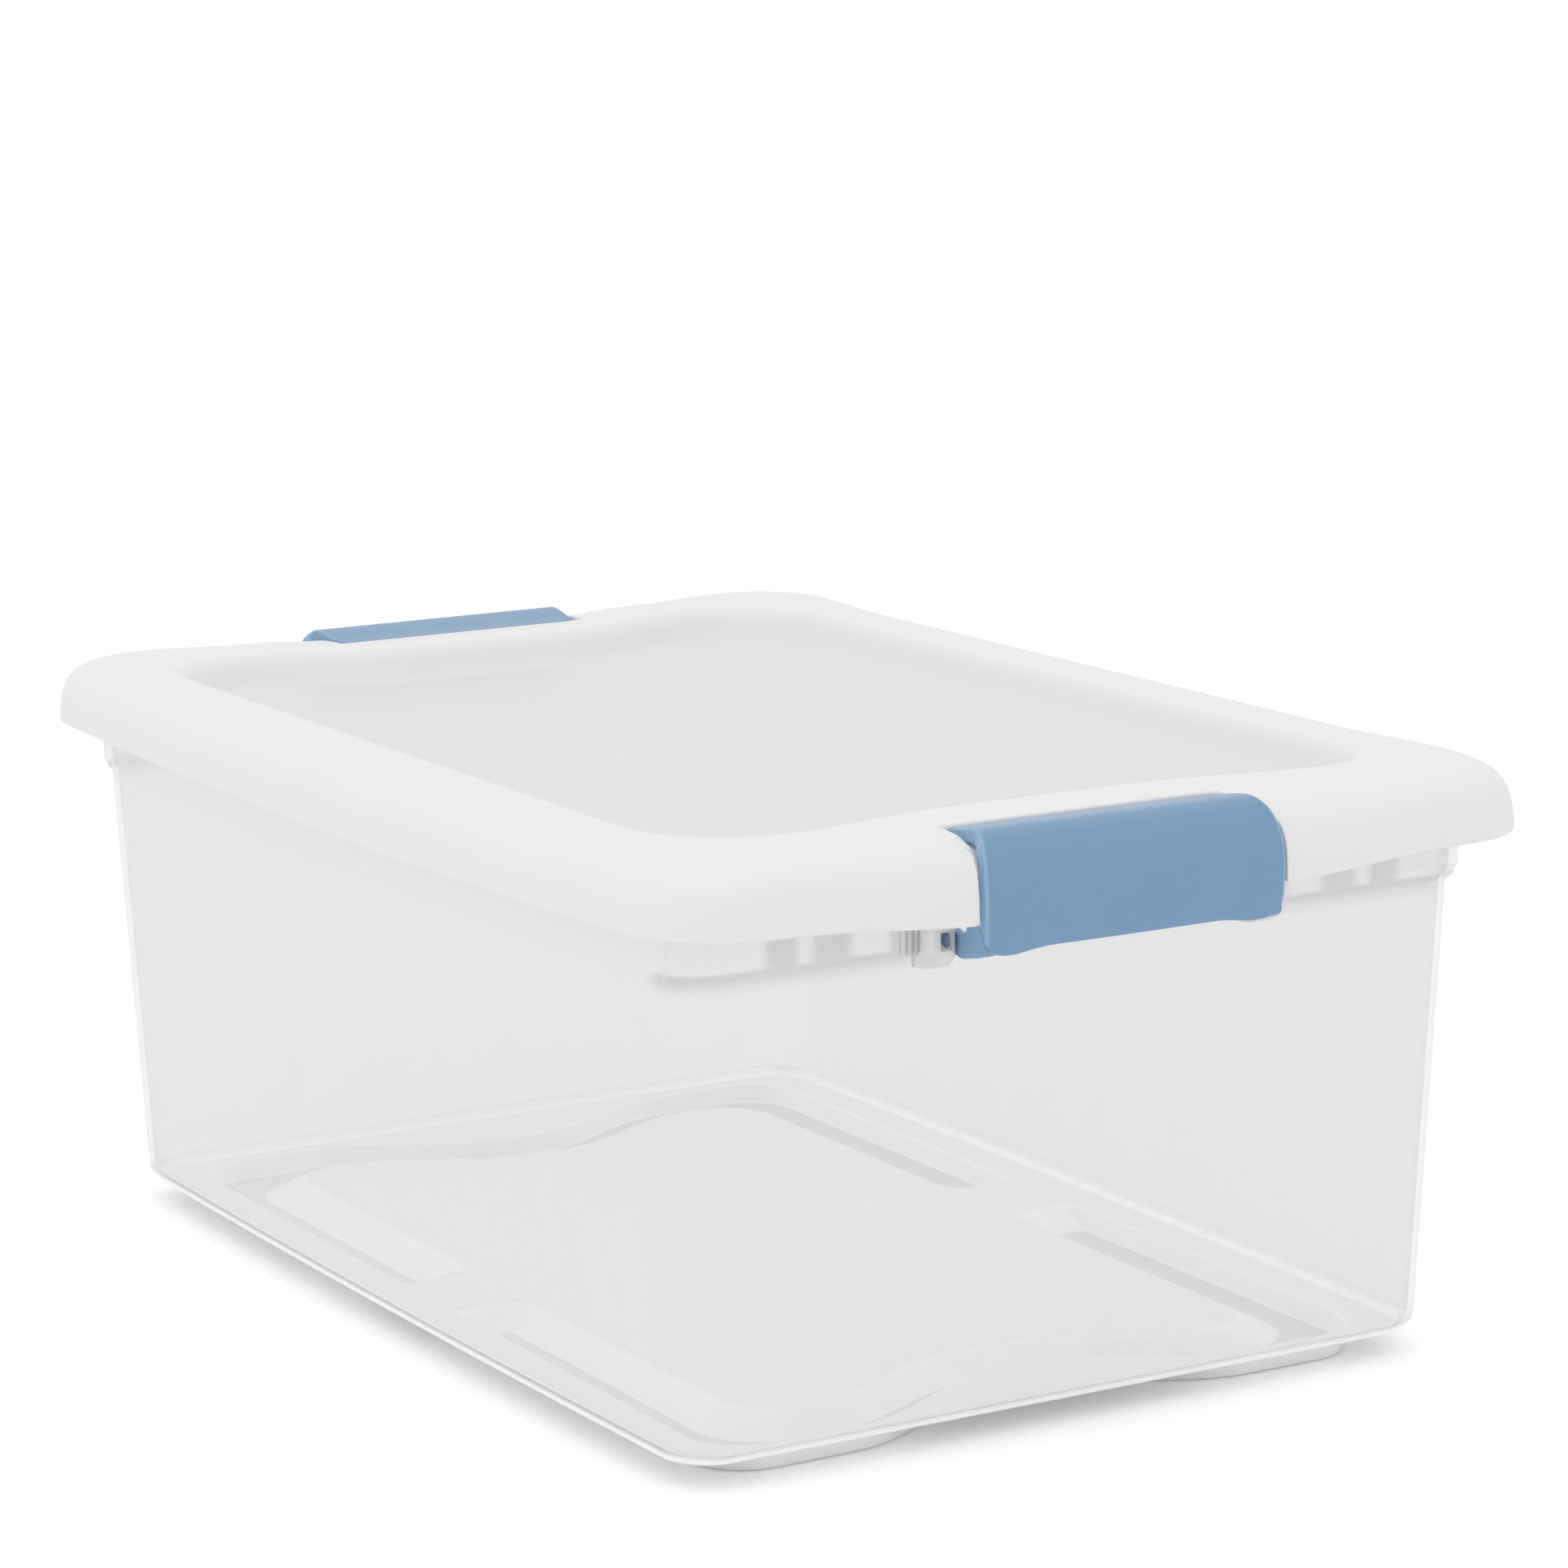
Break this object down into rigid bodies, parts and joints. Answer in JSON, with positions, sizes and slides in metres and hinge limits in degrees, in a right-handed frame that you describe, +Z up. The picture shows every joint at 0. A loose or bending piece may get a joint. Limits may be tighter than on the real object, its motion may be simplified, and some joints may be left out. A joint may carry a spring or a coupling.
{
  "type": "latching storage box",
  "caption": "Low rectangular storage box: clear tapered tub, opaque recessed lid, and a hinged snap latch at each short end.",
  "frame": {"origin": "centre of the footprint, on the floor under the foot ring", "axes": "+X along the length towards latch_front, +Y across the width, +Z up"},
  "size_m": [0.4306, 0.2846, 0.1765],
  "materials": {
    "clear_pp": "clear, slightly hazy moulded polypropylene",
    "white_pp": "opaque white, fine satin texture",
    "blue_pp": "grey-blue, semi-gloss"
  },
  "bodies": {
    "tub": {"tub": "clear_pp"},
    "lid": {"lid": "white_pp"},
    "latch_front": {"latch_front": "blue_pp"},
    "latch_rear": {"latch_rear": "blue_pp"}
  },
  "joints": [
    {"name": "latch_front_hinge", "type": "hinge", "parent": "tub", "child": "latch_front", "pos_m": [0.1976, 0, 0.146], "axis": [0, 1, 0], "range_deg": [0, 100]},
    {"name": "latch_rear_hinge", "type": "hinge", "parent": "tub", "child": "latch_rear", "pos_m": [-0.1976, 0, 0.146], "axis": [0, -1, 0], "range_deg": [0, 100]},
    {"name": "lid_lift", "type": "slide", "parent": "tub", "child": "lid", "axis": [0, 0, 1], "range_m": [0, 0.3]}
  ]
}
